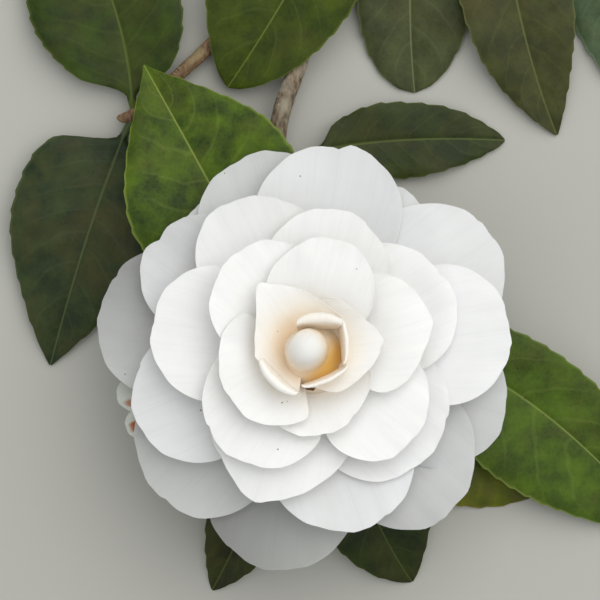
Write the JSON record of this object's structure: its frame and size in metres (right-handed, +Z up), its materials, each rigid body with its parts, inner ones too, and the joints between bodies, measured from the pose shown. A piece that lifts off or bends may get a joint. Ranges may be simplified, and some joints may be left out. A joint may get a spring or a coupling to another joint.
{
  "type": "cut camellia sprig",
  "caption": "Cut camellia sprig lying flat: one open white double bloom facing up over glossy pointed leaves on a woody stem with side twigs.",
  "frame": {"origin": "on the floor under the middle of the sprig's box as it lies", "axes": "+Z up, the way the bloom faces; +Y along the stem toward its cut end; +X to the right seen from above"},
  "size_m": [0.1634, 0.2038, 0.0544],
  "materials": {
    "bark": "matt grey-brown bark",
    "young_bark": "matt young bark",
    "leaf": "glossy waxy leaf",
    "petal": "soft satin petal",
    "sepal": "dull scale"
  },
  "bodies": {
    "root": {"main_stem": "bark", "left_twig": "young_bark", "right_twig": "young_bark", "leaf_behind_bloom": "leaf", "leaf_left_low": "leaf", "leaf_left_high": "leaf", "leaf_top_middle": "leaf", "leaf_top_right": "leaf", "leaf_far_right_high": "leaf", "leaf_right_edge": "leaf", "leaf_right": "leaf", "leaf_right_low": "leaf", "leaf_below": "leaf", "leaf_below_left": "leaf", "leaf_under_rim": "leaf", "bloom": "petal", "calyx": "sepal"}
  },
  "joints": []
}
